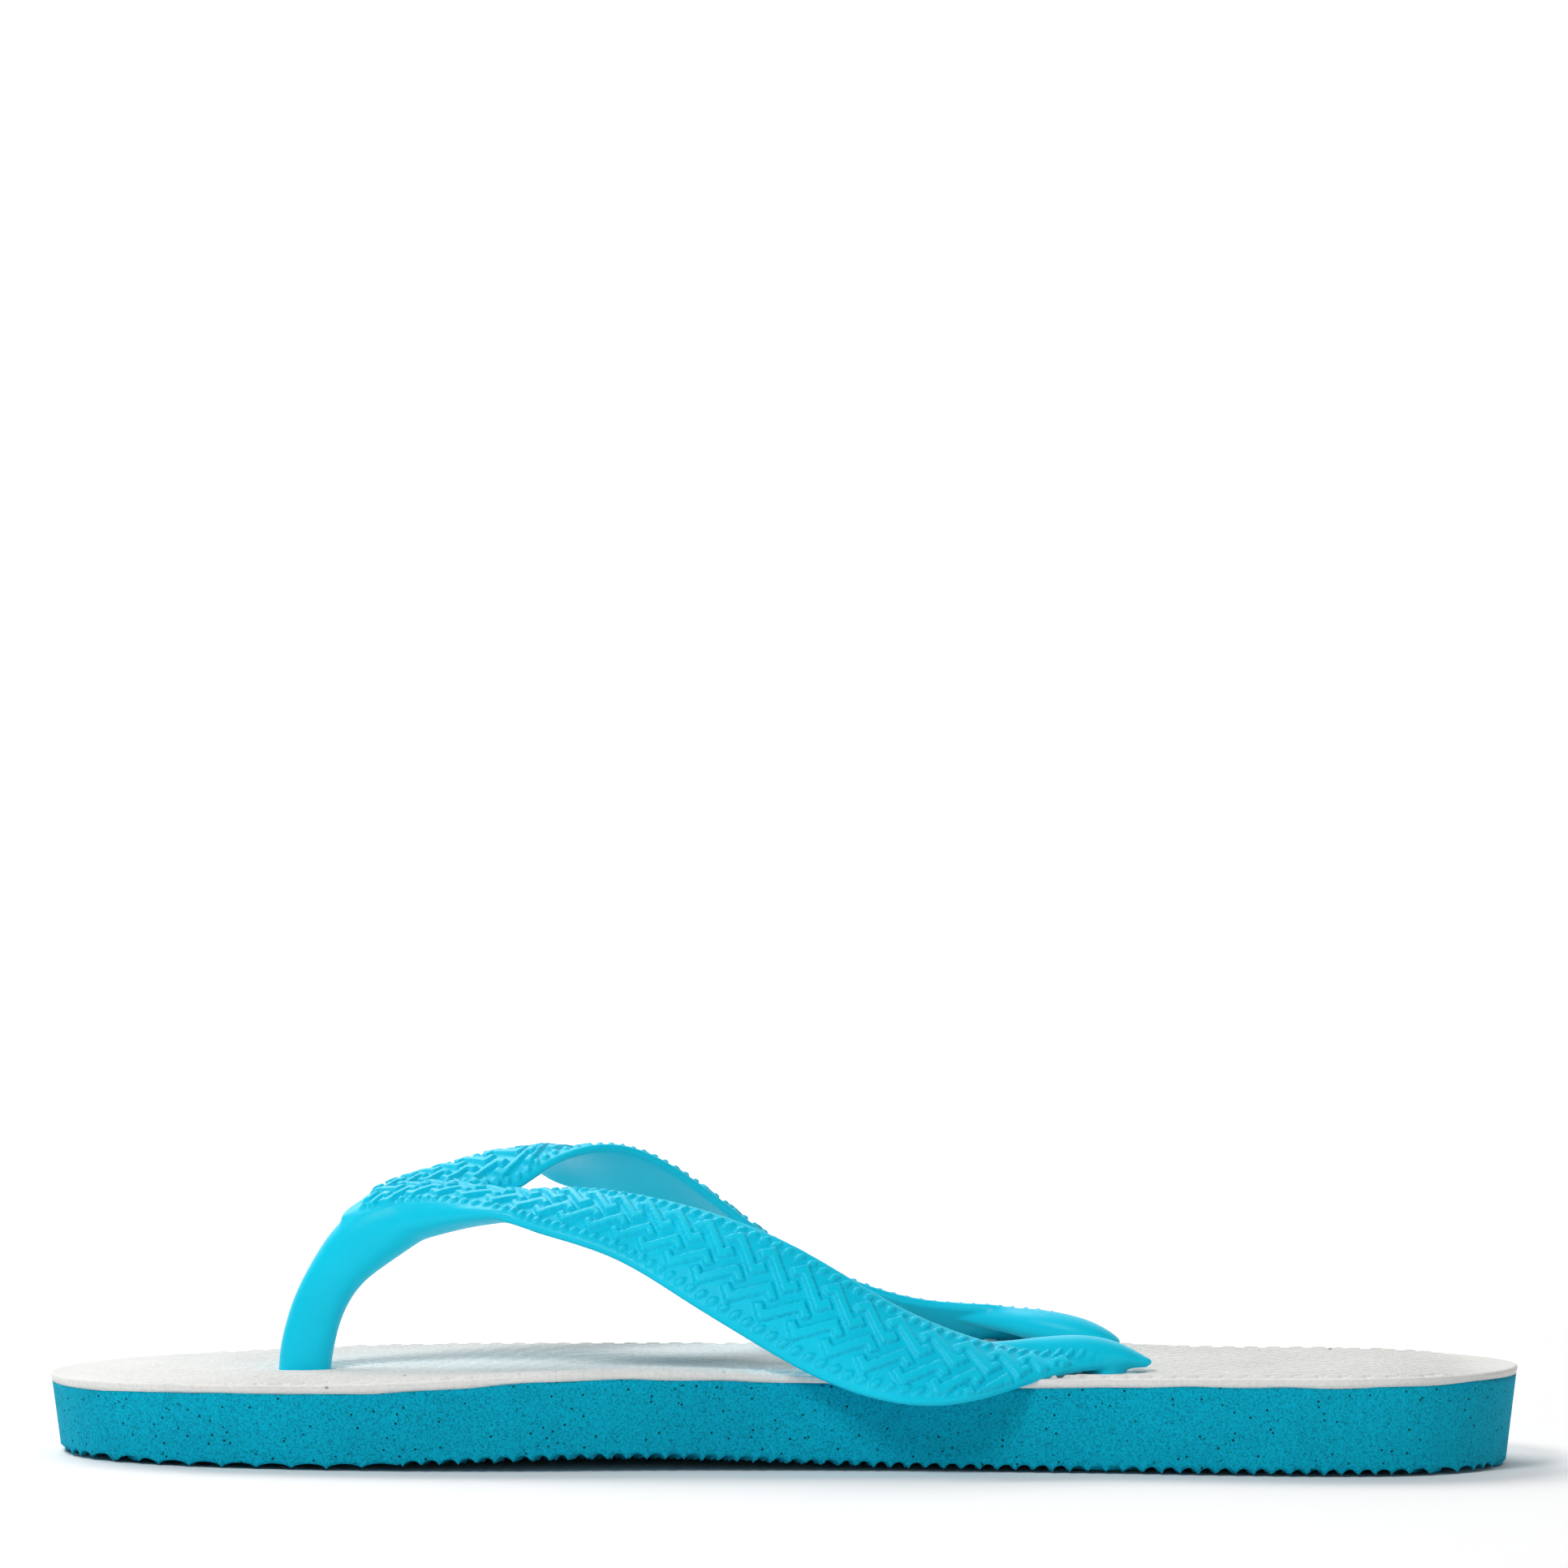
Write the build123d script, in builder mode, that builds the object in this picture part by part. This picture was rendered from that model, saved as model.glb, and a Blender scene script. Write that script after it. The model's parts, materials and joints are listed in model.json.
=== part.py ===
"""Right-foot flip flop: two-layer foam sole with a one-piece moulded Y strap.

Frame: +X runs from toe to heel, -Y is the inner (medial) side, +Z is up.
The origin is the centre of the ground footprint.  All lengths are in mm.

The sole is one bonded slab of two layers.  It bends across the ball of the
foot, so each layer is divided there into a toe piece and a heel piece.
"""
import math
import os

from build123d import *

os.makedirs("parts", exist_ok=True)

# ---- sole -----------------------------------------------------------------
SOLE_LENGTH = 265.0
SOLE_HALF = SOLE_LENGTH / 2
TOE_THICKNESS = 14.1
HEEL_THICKNESS = 17.9
FOOTBED_THICKNESS = 1.5
GROUND_INSET = 2.0          # the side wall leans in by this much at the ground
FLEX_X = -52.0              # bending line across the ball of the foot

# ---- strap plugs ----------------------------------------------------------
TOE_PLUG_X = -87.1
TOE_PLUG_Y = -9.5
TOE_STEM_LENGTH = 9.4       # along the foot
TOE_STEM_WIDTH = 6.2
REAR_PLUG_X = 56.5
MEDIAL_PLUG_Y = -21.5
LATERAL_PLUG_Y = 24.0
REAR_STEM_DIAMETER = 8.0
REAR_STEM_TOP = 22.4        # the stem ends as a dome behind the arm's tail
DOME_ROUNDING = 3.0
PLUG_DIAMETER = 17.0
PLUG_THICKNESS = 2.6
PLUG_RECESS = 3.0           # depth of the pocket in the underside
HOLE_CLEARANCE = 0.25       # all round each stem
RECESS_CLEARANCE = 0.5      # all round each plug disc
TOE_HOLE_LENGTH = TOE_STEM_LENGTH + 2 * HOLE_CLEARANCE
TOE_HOLE_WIDTH = TOE_STEM_WIDTH + 2 * HOLE_CLEARANCE
EDGE_ROUNDING = 0.4         # corner radius of the strap's sections, per thickness

SLOPE = (HEEL_THICKNESS - TOE_THICKNESS) / SOLE_LENGTH
MID_THICKNESS = (HEEL_THICKNESS + TOE_THICKNESS) / 2
TOP_NORMAL = (-math.sin(math.atan(SLOPE)), 0, math.cos(math.atan(SLOPE)))
TOP_PLANE = Plane(origin=(0, 0, MID_THICKNESS), z_dir=TOP_NORMAL)
BOND_PLANE = Plane(origin=(0, 0, MID_THICKNESS - FOOTBED_THICKNESS), z_dir=TOP_NORMAL)
FLEX_PLANE = Plane(origin=(FLEX_X, 0, 0), z_dir=(1, 0, 0))

# Footbed outline, walked from the toe tip down the medial side to the heel
# and back up the lateral side.
OUTLINE = [
    (-SOLE_HALF, -10),
    (-127, -29),
    (-115, -39.5),
    (-96, -45.5),
    (-70, -47.6),
    (-42, -44.8),
    (-12, -38.8),
    (20, -34.6),
    (55, -33.8),
    (90, -34.8),
    (115, -29.5),
    (129, -14),
    (SOLE_HALF, 1),
    (128, 16),
    (113, 29.5),
    (85, 34.5),
    (50, 36.2),
    (18, 39.8),
    (-12, 44.8),
    (-40, 47.6),
    (-66, 45),
    (-92, 36.8),
    (-114, 25),
    (-128, 8),
]


def inset(points, amount):
    """Pull an outline towards the middle of the sole by about `amount`."""
    scale_x = 1 - amount / SOLE_HALF
    scale_y = 1 - amount / 40
    return [(x * scale_x, y * scale_y) for x, y in points]


with BuildPart() as slab:
    with BuildSketch(Plane.XY):
        with BuildLine():
            Spline(inset(OUTLINE, GROUND_INSET), periodic=True)
        make_face()
    with BuildSketch(Plane.XY.offset(HEEL_THICKNESS + 1)):
        with BuildLine():
            Spline(OUTLINE, periodic=True)
        make_face()
    loft(ruled=True)

# ---- holes for the strap --------------------------------------------------
REAR_STEM_POINTS = [(REAR_PLUG_X, MEDIAL_PLUG_Y), (REAR_PLUG_X, LATERAL_PLUG_Y)]
HOLE_TOP = HEEL_THICKNESS + 2

with BuildPart() as toe_hole:
    with BuildSketch(Plane.XY.offset(-1)):
        with Locations((TOE_PLUG_X, TOE_PLUG_Y)):
            RectangleRounded(TOE_HOLE_LENGTH, TOE_HOLE_WIDTH, EDGE_ROUNDING * TOE_HOLE_WIDTH)
    extrude(amount=HOLE_TOP + 1)
    with BuildSketch(Plane.XY.offset(-1)):
        with Locations((TOE_PLUG_X, TOE_PLUG_Y)):
            Circle(PLUG_DIAMETER / 2 + RECESS_CLEARANCE)
    extrude(amount=PLUG_RECESS + 1)

with BuildPart() as rear_holes:
    with BuildSketch(Plane.XY.offset(-1)):
        with Locations(*REAR_STEM_POINTS):
            Circle(REAR_STEM_DIAMETER / 2 + HOLE_CLEARANCE)
    extrude(amount=HOLE_TOP + 1)
    with BuildSketch(Plane.XY.offset(-1)):
        with Locations(*REAR_STEM_POINTS):
            Circle(PLUG_DIAMETER / 2 + RECESS_CLEARANCE)
    extrude(amount=PLUG_RECESS + 1)

# ---- blue foam base, toe and heel pieces ----------------------------------
with BuildPart() as base_toe:
    add(slab.part)
    split(bisect_by=BOND_PLANE, keep=Keep.BOTTOM)
    split(bisect_by=FLEX_PLANE, keep=Keep.BOTTOM)
    add(toe_hole.part, mode=Mode.SUBTRACT)

with BuildPart() as base_heel:
    add(slab.part)
    split(bisect_by=BOND_PLANE, keep=Keep.BOTTOM)
    split(bisect_by=FLEX_PLANE, keep=Keep.TOP)
    add(rear_holes.part, mode=Mode.SUBTRACT)

# ---- white footbed layer, toe and heel pieces -----------------------------
with BuildPart() as footbed_toe:
    add(slab.part)
    split(bisect_by=TOP_PLANE, keep=Keep.BOTTOM)
    split(bisect_by=BOND_PLANE, keep=Keep.TOP)
    split(bisect_by=FLEX_PLANE, keep=Keep.BOTTOM)
    add(toe_hole.part, mode=Mode.SUBTRACT)

with BuildPart() as footbed_heel:
    add(slab.part)
    split(bisect_by=TOP_PLANE, keep=Keep.BOTTOM)
    split(bisect_by=BOND_PLANE, keep=Keep.TOP)
    split(bisect_by=FLEX_PLANE, keep=Keep.TOP)
    add(rear_holes.part, mode=Mode.SUBTRACT)

# ---- strap ----------------------------------------------------------------
# Each arm is a flat band.  A station gives the band's inner edge, its outer
# edge and its thickness, from the nose above the toe post to the tail.
MEDIAL_ARM = [
    ((-77.0, -5.0, 44.7), (-78.3, -12.0, 42.5), 4.6),
    ((-67.0, -2.0, 47.5), (-68.0, -15.0, 45.1), 5.4),
    ((-49.5, -5.0, 46.9), (-53.0, -23.0, 44.1), 4.2),
    ((-32.5, -17.0, 47.5), (-38.5, -29.5, 40.1), 3.2),
    ((-16.0, -24.0, 45.1), (-23.0, -35.5, 32.9), 3.0),
    ((1.5, -29.5, 38.9), (-6.5, -39.8, 23.9), 3.0),
    ((15.5, -31.0, 31.7), (10.5, -43.0, 15.2), 3.0),
    ((28.5, -29.6, 25.7), (25.5, -43.5, 12.9), 3.0),
    ((40.5, -25.6, 22.9), (39.0, -37.8, 16.3), 3.4),
    ((52.0, -20.4, 22.0), (50.5, -29.2, 19.3), 3.4),
    ((59.5, -18.8, 20.6), (58.5, -25.0, 19.3), 2.8),
    ((65.5, -20.4, 18.9), (65.5, -22.4, 18.7), 1.4),
]
LATERAL_ARM = [
    ((-74.5, -10.5, 44.1), (-75.1, -5.0, 45.3), 4.2),
    ((-66.0, -7.0, 46.3), (-66.5, 4.5, 50.1), 5.2),
    ((-49.5, -2.5, 46.9), (-50.0, 14.5, 52.9), 4.2),
    ((-36.0, 8.5, 53.7), (-33.5, 25.0, 48.7), 3.2),
    ((-22.5, 15.0, 50.9), (-18.5, 33.5, 39.9), 3.0),
    ((-8.0, 21.5, 40.9), (-3.5, 40.5, 27.9), 3.0),
    ((7.5, 27.0, 31.7), (11.5, 44.6, 17.9), 3.0),
    ((24.5, 29.6, 26.7), (26.5, 44.0, 13.9), 3.0),
    ((40.5, 28.4, 25.3), (41.0, 39.0, 16.9), 3.4),
    ((52.5, 23.6, 23.6), (51.5, 31.6, 19.3), 3.4),
    ((59.5, 21.6, 21.0), (59.1, 27.4, 19.3), 2.8),
    ((65.5, 23.0, 18.9), (65.5, 25.0, 18.7), 1.4),
]
# The toe post stands on its plug and leans back as it rises.  Each slice gives
# (x, y, z, length, width).
TOE_POST = [
    (TOE_PLUG_X, TOE_PLUG_Y, 1.0, TOE_STEM_LENGTH, TOE_STEM_WIDTH),
    (TOE_PLUG_X, TOE_PLUG_Y, 9.0, TOE_STEM_LENGTH, TOE_STEM_WIDTH),
    (TOE_PLUG_X + 0.2, TOE_PLUG_Y, 16.5, TOE_STEM_LENGTH, TOE_STEM_WIDTH),
    (-85.7, -9.4, 24.3, 9.8, 6.6),
    (-82.1, -9.2, 32.3, 11.4, 8.0),
    (-75.0, -8.8, 39.8, 14.0, 10.0),
    (-69.5, -8.4, 44.3, 12.0, 8.0),
]


def midpoint(station):
    """Centre of the band at a station."""
    inner, outer, _ = station
    return (Vector(*inner) + Vector(*outer)) / 2


def band_plane(stations, index):
    """Plane square to the band at a station, with X across its width."""
    before = midpoint(stations[max(index - 1, 0)])
    after = midpoint(stations[min(index + 1, len(stations) - 1)])
    inner, outer, _ = stations[index]
    across = (Vector(*inner) - Vector(*outer)).normalized()
    along = (after - before).normalized()
    along = (along - across * along.dot(across)).normalized()
    return Plane(origin=midpoint(stations[index]), x_dir=across, z_dir=along)


def band_width(station):
    """Distance between the band's two edges at a station."""
    inner, outer, _ = station
    return (Vector(*inner) - Vector(*outer)).length


def band(stations):
    """Loft one arm of the strap through its stations."""
    with BuildPart() as arm:
        for index, station in enumerate(stations):
            with BuildSketch(band_plane(stations, index)):
                RectangleRounded(band_width(station), station[2], EDGE_ROUNDING * station[2])
        loft()
    return arm.part


with BuildPart() as post:
    for x, y, z, length, width in TOE_POST:
        with BuildSketch(Plane.XY.offset(z)):
            with Locations((x, y)):
                RectangleRounded(length, width, EDGE_ROUNDING * width)
    loft()

# Rear stems, and the three round plugs that hold the strap in the underside.
PLUG_BOTTOM = PLUG_RECESS - 0.1 - PLUG_THICKNESS

with BuildPart() as stems:
    with BuildSketch(Plane.XY.offset(PLUG_BOTTOM)):
        with Locations(*REAR_STEM_POINTS):
            Circle(REAR_STEM_DIAMETER / 2)
    extrude(amount=REAR_STEM_TOP - PLUG_BOTTOM)
    fillet(stems.edges().group_by(Axis.Z)[-1], DOME_ROUNDING)
    with BuildSketch(Plane.XY.offset(PLUG_BOTTOM)):
        with Locations((TOE_PLUG_X, TOE_PLUG_Y), *REAR_STEM_POINTS):
            Circle(PLUG_DIAMETER / 2)
    extrude(amount=PLUG_THICKNESS)

with BuildPart() as strap:
    add(post.part)
    add(band(MEDIAL_ARM))
    add(band(LATERAL_ARM))
    add(stems.part)

# ---- export ---------------------------------------------------------------
base_toe.part.label = "base_toe"
export_step(base_toe.part, "parts/base_toe.step")
base_heel.part.label = "base_heel"
export_step(base_heel.part, "parts/base_heel.step")
footbed_toe.part.label = "footbed_toe"
export_step(footbed_toe.part, "parts/footbed_toe.step")
footbed_heel.part.label = "footbed_heel"
export_step(footbed_heel.part, "parts/footbed_heel.step")
strap.part.label = "strap"
export_step(strap.part, "parts/strap.step")
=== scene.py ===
"""Visual model of a right-foot flip flop: foam sole, embossed footbed, moulded strap.

Shapes are worked out in millimetres in the frame of the CAD model and written to
Blender in metres.  +X runs from toe to heel, -Y is the inner side, +Z is up.
"""
import json
import math

import bmesh
import bpy
import numpy as np
from mathutils import Matrix
from mathutils.kdtree import KDTree

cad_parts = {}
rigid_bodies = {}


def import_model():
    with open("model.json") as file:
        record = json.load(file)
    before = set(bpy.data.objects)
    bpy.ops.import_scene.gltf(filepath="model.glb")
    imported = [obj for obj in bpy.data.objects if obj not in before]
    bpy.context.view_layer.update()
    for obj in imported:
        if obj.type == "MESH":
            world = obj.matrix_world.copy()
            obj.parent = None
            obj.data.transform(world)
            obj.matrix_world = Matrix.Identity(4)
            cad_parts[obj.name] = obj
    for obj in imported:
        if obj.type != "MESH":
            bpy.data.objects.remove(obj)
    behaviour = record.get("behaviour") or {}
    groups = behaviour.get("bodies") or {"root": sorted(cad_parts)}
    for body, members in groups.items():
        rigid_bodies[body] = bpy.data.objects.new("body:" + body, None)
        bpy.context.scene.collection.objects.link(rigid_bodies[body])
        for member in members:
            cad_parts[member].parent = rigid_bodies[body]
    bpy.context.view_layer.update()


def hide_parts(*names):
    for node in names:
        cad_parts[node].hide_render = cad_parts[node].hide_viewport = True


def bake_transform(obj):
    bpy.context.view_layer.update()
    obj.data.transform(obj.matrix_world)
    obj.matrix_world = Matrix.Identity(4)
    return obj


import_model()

MM = 0.001

# ---- sole dimensions (mm) ---------------------------------------------------
SOLE_HALF = 132.5
HALF_WIDTH = 40.0           # typical half width, used when the outline is inset
MID_THICKNESS = 16.0
SLOPE = 3.8 / 265.0         # the sole thickens from toe to heel
FOOTBED_THICKNESS = 1.5
WALL_HEIGHT = 18.9
GROUND_INSET = 2.0          # the side wall leans in by this much at the ground

# Outline of the footbed, from the toe tip down the inner side to the heel and
# back up the outer side.
OUTLINE = [
    (-SOLE_HALF, -10), (-127, -29), (-115, -39.5), (-96, -45.5), (-70, -47.6), (-42, -44.8),
    (-12, -38.8), (20, -34.6), (55, -33.8), (90, -34.8), (115, -29.5), (129, -14),
    (SOLE_HALF, 1), (128, 16), (113, 29.5), (85, 34.5), (50, 36.2), (18, 39.8),
    (-12, 44.8), (-40, 47.6), (-66, 45), (-92, 36.8), (-114, 25), (-128, 8),
]

# ---- strap plugs (mm) -------------------------------------------------------
TOE_PLUG = (-87.1, -9.5)
REAR_PLUGS = [(56.5, -21.5), (56.5, 24.0)]
PLUG_RADIUS = 8.5
PLUG_BOTTOM = 0.3
PLUG_TOP = 2.9
RECESS_RADIUS = 9.0
RECESS_DEPTH = 3.0
REAR_STEM_RADIUS = 4.0
RING_POINTS = 96            # points round a pocket, a stem or a plug


# ---- small helpers ----------------------------------------------------------
def smoothstep(edge_0, edge_1, value):
    """0 below edge_0, 1 above edge_1, smooth between them."""
    t = np.clip((value - edge_0) / (edge_1 - edge_0), 0.0, 1.0)
    return t * t * (3.0 - 2.0 * t)


def spline(points, count, closed=False):
    """Cubic spline through the points, sampled at `count` places by chord length."""
    points = np.array(points, float)
    if closed:
        points = np.vstack([points, points[:1]])
    chord = np.linalg.norm(np.diff(points, axis=0), axis=1)
    knots = np.concatenate([[0.0], np.cumsum(chord)])
    n = len(points)
    system = np.zeros((n, n))
    right = np.zeros_like(points)
    for i in range(1, n - 1):
        system[i, i - 1] = chord[i - 1]
        system[i, i] = 2 * (chord[i - 1] + chord[i])
        system[i, i + 1] = chord[i]
        ahead = (points[i + 1] - points[i]) / chord[i]
        behind = (points[i] - points[i - 1]) / chord[i - 1]
        right[i] = 6 * (ahead - behind)
    if closed:
        system[0, 0] = 1.0
        system[0, n - 1] = -1.0
        system[n - 1, 0] = 2 * (chord[0] + chord[-1])
        system[n - 1, 1] = chord[0]
        system[n - 1, n - 2] = chord[-1]
        ahead = (points[1] - points[0]) / chord[0]
        behind = (points[-1] - points[-2]) / chord[-1]
        right[n - 1] = 6 * (ahead - behind)
    else:
        system[0, 0] = 1.0
        system[n - 1, n - 1] = 1.0
    second = np.linalg.solve(system, right)
    at = np.linspace(0.0, knots[-1], count)
    span = np.clip(np.searchsorted(knots, at, side="right") - 1, 0, n - 2)
    h = chord[span][:, None]
    low = (knots[span + 1] - at)[:, None]
    high = (at - knots[span])[:, None]
    value = second[span] * low ** 3 / (6 * h) + second[span + 1] * high ** 3 / (6 * h)
    value += (points[span] / h - second[span] * h / 6) * low
    value += (points[span + 1] / h - second[span + 1] * h / 6) * high
    return value


def grid_faces(rows, columns, first=0, closed=False):
    """Quads of a rows x columns grid of vertices."""
    index = first + np.arange(rows * columns).reshape(rows, columns)
    if closed:
        index = np.hstack([index, index[:, :1]])
    quads = np.stack([index[:-1, :-1], index[1:, :-1], index[1:, 1:], index[:-1, 1:]], axis=-1)
    return quads.reshape(-1, 4).tolist()


def capped_faces(rings, ring_points):
    """Quads of a closed tube of rings, with a face over each end."""
    faces = grid_faces(rings, ring_points, closed=True)
    faces.append(list(range(ring_points)))
    faces.append(list(range((rings - 1) * ring_points, rings * ring_points)))
    return faces


def mesh_object(name, points, faces):
    """New smooth-shaded object from points in millimetres."""
    mesh = bpy.data.meshes.new(name)
    mesh.from_pydata((np.asarray(points) * MM).tolist(), [], faces)
    mesh.update()
    mesh.shade_smooth()
    piece = bpy.data.objects.new(name, mesh)
    bpy.context.scene.collection.objects.link(piece)
    return piece


def weld(piece, distance=1e-6):
    """Join coincident vertices and turn all faces outward."""
    work = bmesh.new()
    work.from_mesh(piece.data)
    bmesh.ops.remove_doubles(work, verts=work.verts, dist=distance)
    bmesh.ops.dissolve_degenerate(work, edges=work.edges, dist=distance)
    bmesh.ops.recalc_face_normals(work, faces=work.faces)
    work.to_mesh(piece.data)
    work.free()
    piece.data.shade_smooth()


def apply_modifiers(piece):
    """Replace the mesh by its modified form and drop the modifiers."""
    depsgraph = bpy.context.evaluated_depsgraph_get()
    mesh = bpy.data.meshes.new_from_object(piece.evaluated_get(depsgraph))
    piece.modifiers.clear()
    piece.data = mesh
    mesh.shade_smooth()


# ---- sole -------------------------------------------------------------------
STATIONS = 900
TIP_FADE = 12               # length at each tip where the edge's unevenness fades out
BASE_PHASE = 1.7
FOOTBED_PHASE = 0.9


def sole_stations():
    """Stations along the sole: x, inner y and outer y, evenly spaced along the edge."""
    loop = spline(OUTLINE, 6000, closed=True)
    toe = int(np.argmin(loop[:, 0]))
    loop = np.roll(loop, -toe, axis=0)
    heel = int(np.argmax(loop[:, 0]))
    inner = loop[:heel + 1]
    outer = np.vstack([loop[heel:], loop[:1]])[::-1]
    travel = np.concatenate([[0.0], np.cumsum(np.linalg.norm(np.diff(inner, axis=0), axis=1))])
    at = np.linspace(0.0, travel[-1], STATIONS)
    x = np.interp(at, travel, inner[:, 0])
    y_inner = np.interp(at, travel, inner[:, 1])
    y_outer = np.interp(x, outer[:, 0], outer[:, 1])
    y_outer[0] = y_inner[0]
    y_outer[-1] = y_inner[-1]
    return x, y_inner, y_outer


SOLE_X, SOLE_INNER, SOLE_OUTER = sole_stations()


# Lift of each edge: height, where it peaks along the sole, its spread, and the
# half width at which it reaches the full height.
INNER_LIFT = (2.3, -22, 36, 42)
OUTER_LIFT = (1.7, 38, 30, 38)


def edge_lift(x, distance, shape):
    """Lift of one edge at a distance from the middle line, towards that edge."""
    height, peak, spread, half_width = shape
    along = height * np.exp(-((x - peak) / spread) ** 2)
    return along * (np.clip(distance, 0, 60) / half_width) ** 2


def lift(x, y):
    """The strap pulls the edges of the sole up a little at the waist."""
    return edge_lift(x, -y, INNER_LIFT) + edge_lift(x, y, OUTER_LIFT)


def top_height(x, y):
    """Footbed surface before embossing."""
    return MID_THICKNESS + SLOPE * x + lift(x, y)


def lean(height):
    """How far the side wall stands in from the outline at a height."""
    return GROUND_INSET * (1 - height / WALL_HEIGHT)


def edge_wave(x, phase):
    """Slight unevenness of an edge cut from soft foam."""
    long_wave = 0.10 * np.sin(x / 7.3 + phase)
    middle_wave = 0.07 * np.sin(x / 3.1 + 2.3 * phase)
    short_wave = 0.04 * np.sin(x / 1.3 + phase)
    return long_wave + middle_wave + short_wave


def level(inset, phase):
    """The outline's stations pulled in by `inset`, with the edge's unevenness:
    x, inner y, outer y."""
    scale_x = 1 - inset / SOLE_HALF
    scale_y = 1 - inset / HALF_WIDTH
    from_toe = smoothstep(0, TIP_FADE, SOLE_X - SOLE_X[0])
    from_heel = smoothstep(0, TIP_FADE, SOLE_X[-1] - SOLE_X)
    ripple = edge_wave(SOLE_X, phase) * (from_toe * from_heel)
    return SOLE_X * scale_x, SOLE_INNER * scale_y - ripple, SOLE_OUTER * scale_y + ripple


def sheet(stations, columns, height):
    """Grid across the sole at one level; height(x, y) gives z."""
    x, inner, outer = stations
    across = np.linspace(0, 1, columns)[None, :]
    y = inner[:, None] + (outer - inner)[:, None] * across
    xs = np.repeat(x[:, None], columns, axis=1)
    return np.stack([xs, y, height(xs, y)], axis=-1)


def slab(name, rows, bottom, top):
    """Closed slab: wall rows from bottom to top, each (stations, height function),
    with (columns, height function) for the bottom sheet and the top sheet."""
    parts = [sheet(rows[0][0], bottom[0], bottom[1]), sheet(rows[-1][0], top[0], top[1])]
    for side in (1, 2):
        wall = []
        for stations, height in rows:
            x, y = stations[0], stations[side]
            wall.append(np.stack([x, y, height(x, y)], axis=-1))
        parts.append(np.stack(wall, axis=0))
    points = []
    faces = []
    first = 0
    for part in parts:
        faces += grid_faces(part.shape[0], part.shape[1], first)
        points.append(part.reshape(-1, 3))
        first += part.shape[0] * part.shape[1]
    piece = mesh_object(name, np.vstack(points), faces)
    weld(piece, 2e-6)
    return piece


# Tread: scalloped channels across the sole, wider under the ball of the foot.
FINE_PITCH = 3.2
BALL_PITCH = 6.2
TREAD_DEPTH = 1.3
BALL_START = -113.0
BALL_END = -68.0
BALL_BLEND = 2
BALL_DEPTH = 0.75           # of the tread depth
SWING = 1.5                 # how far the channels sway along the sole
SWING_LENGTH = 17
GROUND_LIFT = 0.98          # of the lift, so that the base gets hardly thicker


def tread(x, y):
    """Height of the underside over the ground."""
    after_start = smoothstep(BALL_START - BALL_BLEND, BALL_START + BALL_BLEND, x)
    before_end = 1 - smoothstep(BALL_END - BALL_BLEND, BALL_END + BALL_BLEND, x)
    ball = after_start * before_end
    swing = SWING * np.sin(2 * math.pi * y / SWING_LENGTH) * smoothstep(0, 10, 45 - np.abs(y))
    fine = ((x + swing) / FINE_PITCH) % 1.0 * 2 - 1
    wide = ((x + swing) / BALL_PITCH) % 1.0 * 2 - 1
    fine_arc = np.sqrt(np.clip(1 - fine ** 2, 0, 1))
    wide_arc = np.sqrt(np.clip(1 - wide ** 2, 0, 1))
    height = TREAD_DEPTH * (fine_arc * (1 - ball) + BALL_DEPTH * wide_arc * ball)
    return height + lift(x, y) * GROUND_LIFT


def bond_height(x, y):
    """Glue line between the base and the footbed."""
    return top_height(x, y) - FOOTBED_THICKNESS + 0.12 * np.sin(x / 9.0) + 0.06 * np.sin(x / 2.7)


def make_base():
    """Blue foam base with the tread and the three plug pockets."""
    base_wall = 15.5
    fractions = [0.0, 0.05, 0.12, 0.25, 0.4, 0.55, 0.7, 0.82, 0.92, 1.0]
    rows = []
    for fraction in fractions:
        def height(x, y, fraction=fraction):
            low = tread(x, y)
            return low + (bond_height(x, y) - low) * fraction
        rows.append((level(lean(base_wall * fraction), BASE_PHASE), height))
    base = slab("sole_base", rows, (150, tread), (10, bond_height))
    for number, (x, y) in enumerate([TOE_PLUG] + REAR_PLUGS):
        cutter = plug_cutter("pocket_cutter_%d" % number, x, y)
        cut = base.modifiers.new("pocket_%d" % number, "BOOLEAN")
        cut.operation = "DIFFERENCE"
        cut.solver = "EXACT"
        cut.object = cutter
    apply_modifiers(base)
    for piece in [o for o in bpy.data.objects if o.name.startswith("pocket_cutter")]:
        bpy.data.objects.remove(piece)
    return base


def plug_cutter(name, x, y):
    """Cylinder that cuts one plug pocket into the underside."""
    turn = np.linspace(0, 2 * math.pi, RING_POINTS, endpoint=False)
    ring_x = x + RECESS_RADIUS * np.cos(turn)
    ring_y = y + RECESS_RADIUS * np.sin(turn)
    ring = np.stack([ring_x, ring_y, 0 * turn], axis=-1)
    points = np.vstack([ring + [0, 0, -4], ring + [0, 0, RECESS_DEPTH]])
    faces = grid_faces(2, RING_POINTS, closed=True)
    faces += [list(range(RING_POINTS)), list(range(RING_POINTS, 2 * RING_POINTS))[::-1]]
    cutter = mesh_object(name, points, faces)
    weld(cutter)
    cutter.hide_render = True
    return cutter


# Footbed embossing: staggered rows of short curved grains.
GRAIN_PITCH_X = 4.2
GRAIN_PITCH_Y = 2.5
GRAIN_HEIGHT = 0.6
GRAIN_HALF_LENGTH = 1.75
GRAIN_HALF_WIDTH = 0.75
GRAIN_CURVE = 0.16
GRAIN_SHIFT = 0.25          # brings the curved grain back to the middle of its row
RIM_FADE = (0.9, 2.0)       # the embossing starts this far in from the sides
END_FADE = (1.5, 24.0)      # and grows over this distance from the toe and heel tips


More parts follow.
